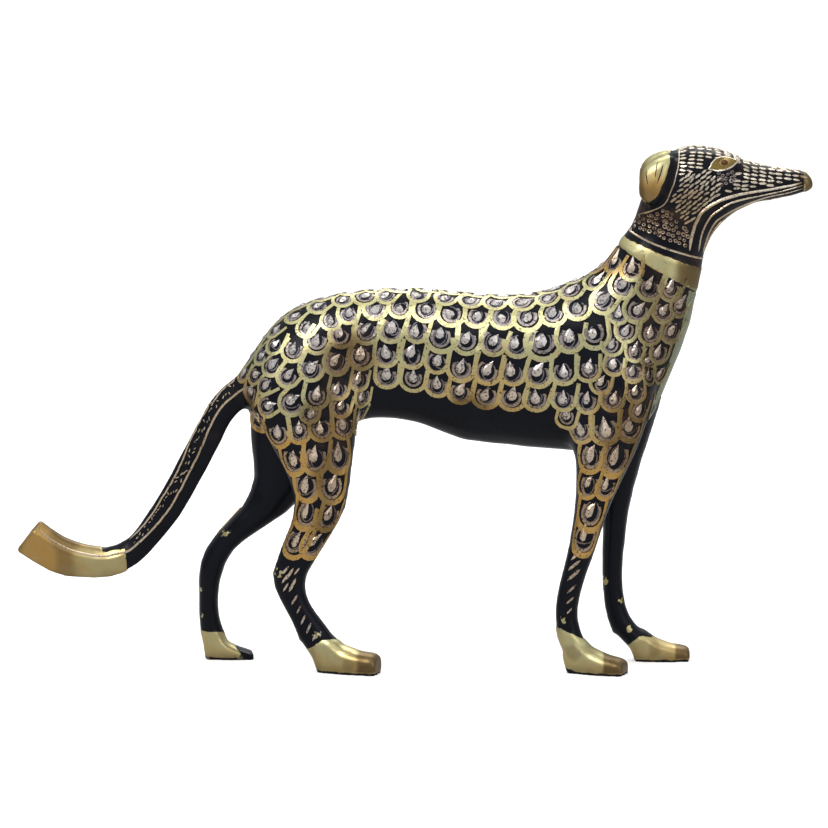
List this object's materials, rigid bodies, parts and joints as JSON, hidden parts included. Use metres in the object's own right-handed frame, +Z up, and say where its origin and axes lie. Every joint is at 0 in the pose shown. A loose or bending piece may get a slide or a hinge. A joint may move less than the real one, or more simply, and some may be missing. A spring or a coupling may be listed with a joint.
{
  "type": "standing hound statue",
  "caption": "Cast brass hound standing on its own feet, scale-carved coat, plain collar, folded ears, slender muzzle and a curved tail cut off square",
  "frame": {"origin": "on the ground, under the middle of the hound's bounding box", "axes": "+X runs forwards from tail to nose, +Y to the hound's left, +Z up"},
  "size_m": [0.3004, 0.0468, 0.1986],
  "materials": {
    "lacquered_brass": "cast brass, coat and head cut with a chisel, black lacquer left in the cuts and over the belly and legs, high parts polished bare"
  },
  "bodies": {
    "root": {"hound": "lacquered_brass"}
  },
  "joints": []
}
